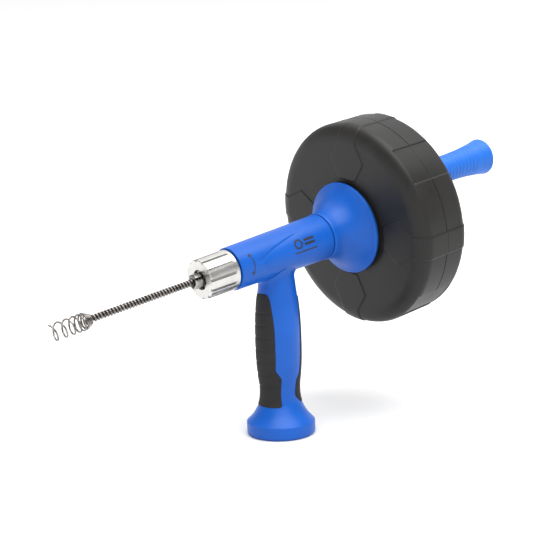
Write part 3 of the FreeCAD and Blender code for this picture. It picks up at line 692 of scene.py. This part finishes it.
NUT = [
    (53.2, 13.0, 0.3),
    (53.2, 17.7, 0.7),
    (83.6, 17.3, 1.1),
    (83.6, 8.6, 0.5),
    (81.0, 8.6, 0),
    (81.0, 9.0, 0),
    (71.0, 11.68, 0),
    (71.0, 14.4, 0),
    (65.0, 14.4, 0),
    (65.0, 13.0, 0),
]
nut_sheets = [(revolved(eased(NUT, 0.6), 720, nut_relief), True)]
nut = piece("nut", nut_sheets, cast, "chuck_nut", ["chuck_nut"], 55)
# The faces inside the flutes get the darker metal as painted shade.
second_material(
    nut,
    flute_shade_metal,
    lambda p: (np.hypot(p[:, 1], p[:, 2]) > 15.6) & (in_flute(p[:, 0], np.arctan2(p[:, 2], p[:, 1])) > -0.1),
)


# Crank knob


def knob_radius(x):
    share = max(0.0, (KNOB_START - x) / (KNOB_START - KNOB_SHOULDER))
    return 12.4 + 4.3 * share**3.4


def knob_outline():
    outer = [(KNOB_START, 5.7), (KNOB_START, 11.5), (-149.1, 12.0), (-149.6, 12.3), (-150.2, 12.4)]
    for x in np.arange(-151, KNOB_SEAM, -0.3):
        rib = 0.5 - 0.5 * math.cos(2 * math.pi * (x + 156.2) / 4.4)
        fade = float(smooth((x + 206.4) / 2.4) * smooth((-154.6 - x) / 1.5))
        outer.append((x, knob_radius(x) - 0.6 * rib**2 * fade))
    outer += [(KNOB_SEAM + 0.1, knob_radius(KNOB_SEAM) - 0.02), (KNOB_SEAM, knob_radius(KNOB_SEAM) - 0.15)]
    return divided(outer + [(KNOB_SEAM, 9.0), (KNOB_SEAM + 6, 9.0), (KNOB_SEAM + 6, 5.7)], 4.0)


def knob_end_outline():
    outer = [(KNOB_SEAM, 9.0), (KNOB_SEAM, knob_radius(KNOB_SEAM) - 0.15)]
    outer += [(x, knob_radius(x)) for x in np.arange(KNOB_SEAM - 0.1, KNOB_SHOULDER, -0.6)]
    for t in np.linspace(0, math.pi / 2, 22):
        outer.append((KNOB_SHOULDER - 3 * math.sin(t), 16.7 * (1 - 0.55 * (1 - math.cos(t)))))
    outer.append((KNOB_END, 0.05))
    hollow = [(KNOB_END + 3, 0.05), (KNOB_END + 3, 7), (KNOB_SEAM + 5.5, 7), (KNOB_SEAM + 5.5, 9.0)]
    return divided(outer + hollow, 1.5)


knob_sheets = [(revolved(knob_outline(), 160, None, KNOB_Y, KNOB_Z), True)]
knob_end_sheets = [(revolved(knob_end_outline(), 160, None, KNOB_Y, KNOB_Z), True)]
piece("knob_grip", knob_sheets, knob_blue, "knob", ["crank_knob"])
piece("knob_end", knob_end_sheets, knob_blue, "knob", ["knob_cap"])


# Plain printed marks on the barrel


def on_barrel(x, arc, height):
    """A point on the barrel's left side from its place along it and the length of arc above its middle."""
    x, arc = np.asarray(x, float), np.asarray(arc, float)
    angle = arc / 20.0
    r = barrel_radius(x)
    r = r + leaf(x, r * np.sin(angle)) + height
    return from_spindle(np.stack([x, r * np.cos(angle), r * np.sin(angle)], -1))


def ribbon(left, right):
    """A thin printed band between two lines of (x, arc) points."""
    left, right = divided(left, 0.8, False), divided(right, 0.8, False)
    count = max(len(left), len(right))
    spans = np.linspace(0, 1, count)
    left = np.stack([np.interp(spans, np.linspace(0, 1, len(left)), left[:, k]) for k in range(2)], -1)
    right = np.stack([np.interp(spans, np.linspace(0, 1, len(right)), right[:, k]) for k in range(2)], -1)
    steps = np.linspace(0, 1, max(2, int(np.linalg.norm(left - right, axis=1).max() / 0.8) + 1))
    across = [left + (right - left) * s for s in steps]
    top = [on_barrel(p[:, 0], p[:, 1], 0.05) for p in across]
    bottom = [on_barrel(p[:, 0], p[:, 1], -0.1) for p in across[::-1]]
    return np.stack(top + bottom, 1)


def bar(x0, x1, low, high):
    return ribbon([(x0, low), (x1, low)], [(x0, high), (x1, high)])


def hexagon_ring(x, arc, outer, inner):
    turn = np.radians(np.arange(0, 420, 60))
    corners = np.stack([np.cos(turn), np.sin(turn)], -1)
    centre = np.array((x, arc))
    return ribbon([centre + outer * c for c in corners], [centre + inner * c for c in corners])


badge = [
    (hexagon_ring(-11.5, 6.3, 5.0, 3.1), False),
    (bar(-29.5, -18.0, 7.2, 9.4), False),
    (bar(-29.5, -18.0, 3.4, 5.6), False),
    (bar(-31.0, -6.0, -1.6, -0.4), False),
]
piece("barrel_badge", badge, ink, "handle")

sweep = np.radians(np.linspace(-62, 62, 30))
bow = [(42.0 - 4.0 * math.cos(t), 3.4 + 8.6 * math.sin(t)) for t in sweep]
bow_in = [(42.0 - 2.9 * math.cos(t), 3.4 + 8.2 * math.sin(t)) for t in sweep]
tips = []
for sign in (1, -1):
    tip_x, tip_arc = 40.9, 3.4 + sign * 7.3
    left = [(tip_x - 2.4, tip_arc), (tip_x - 0.6, tip_arc + sign * 3.2)]
    right = [(tip_x + 2.0, tip_arc), (tip_x - 0.4, tip_arc + sign * 3.3)]
    tips.append((ribbon(left, right), False))
piece("turn_arrow", [(ribbon(bow, bow_in), False)] + tips, ink, "handle")


# Floor and light


def floor():
    mesh = bpy.data.meshes.new("floor")
    rings, columns = 24, 96
    points, faces = [(0, 0, 0)], []
    for i in range(1, rings + 1):
        radius = 6.0 * (i / rings) ** 2
        turn = np.linspace(0, 2 * math.pi, columns, endpoint=False)
        points += [(radius * math.cos(a), radius * math.sin(a), 0) for a in turn]
    faces += [(0, 1 + i, 1 + (i + 1) % columns) for i in range(columns)]
    for i in range(rings - 1):
        a, b = 1 + i * columns, 1 + (i + 1) * columns
        faces += [(a + j, b + j, b + (j + 1) % columns, a + (j + 1) % columns) for j in range(columns)]
    mesh.from_pydata(points, [], faces)
    pale = surface("pale_floor", (0.76, 0.76, 0.76), (0.79, 0.79, 0.79), (0.85, 0.95), 300, 0.02, patch=3)
    mesh.materials.append(pale)
    obj = bpy.data.objects.new("floor", mesh)
    bpy.context.scene.collection.objects.link(obj)


def sunlight(name, aim, strength, spread_angle):
    """A wide, soft light that falls evenly everywhere along a direction."""
    data = bpy.data.lights.new(name, "SUN")
    data.energy = strength
    data.angle = math.radians(spread_angle)
    obj = bpy.data.objects.new(name, data)
    obj.rotation_euler = Vector(aim).to_track_quat("-Z", "Y").to_euler()
    bpy.context.scene.collection.objects.link(obj)


floor()
world = bpy.data.worlds.new("studio")
world.use_nodes = True
bpy.context.scene.world = world
nodes, links = world.node_tree.nodes, world.node_tree.links
direction = nodes.new("ShaderNodeTexCoord").outputs["Generated"]
height = nodes.new("ShaderNodeSeparateXYZ")
links.new(direction, height.inputs["Vector"])
glow = nodes.new("ShaderNodeValToRGB")
for place, level in ((0.0, 1.0), (0.2, 1.0), (0.34, 0.3), (0.7, 0.32), (1.0, 0.62)):
    element = glow.color_ramp.elements.new(place) if 0 < place < 1 else glow.color_ramp.elements[int(place)]
    element.color = (level, level, level, 1)
links.new(height.outputs["Z"], glow.inputs["Fac"])
links.new(glow.outputs["Color"], nodes["Background"].inputs["Color"])
nodes["Background"].inputs["Strength"].default_value = 1.08
sunlight("overhead", (-0.10, -0.38, -1.0), 3.6, 65)
sunlight("rear", (0.55, 0.35, -1.0), 1.3, 90)
bpy.context.scene.view_settings.view_transform = "Standard"
